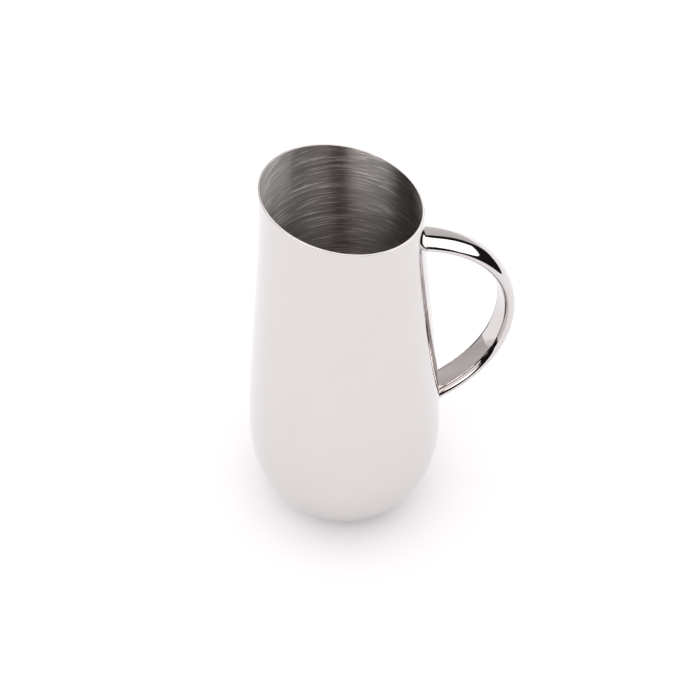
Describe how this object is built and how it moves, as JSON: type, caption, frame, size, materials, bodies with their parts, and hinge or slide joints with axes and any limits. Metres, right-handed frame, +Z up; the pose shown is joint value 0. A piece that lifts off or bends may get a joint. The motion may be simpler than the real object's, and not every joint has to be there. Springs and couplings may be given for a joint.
{
  "type": "water pitcher",
  "caption": "Tall polished steel water pitcher with a rounded bowl, a slanted open mouth and a hollow strap handle welded on one side.",
  "frame": {"origin": "centre of the flat base, on the surface that the pitcher stands on, on the axis of the body", "axes": "+Z up along the body's axis, +X towards the handle and the low side of the mouth, -X towards the pouring side"},
  "size_m": [0.1521, 0.108, 0.2387],
  "materials": {
    "body_polished": "mirror-polished stainless steel outside, fine circumferential brushing inside",
    "handle_polished": "mirror-polished stainless steel",
    "base_brushed": "lathe-brushed stainless steel",
    "weld_raw": "plain stainless steel, out of sight"
  },
  "bodies": {
    "root": {"body_shell": "body_polished", "base_disc": "base_brushed", "base_weld_ring": "weld_raw", "handle_outer_shell": "handle_polished", "handle_inner_strip": "handle_polished", "upper_weld_plate": "weld_raw", "lower_weld_plate": "weld_raw", "upper_weld_bead": "handle_polished", "lower_weld_bead": "handle_polished"}
  },
  "joints": []
}
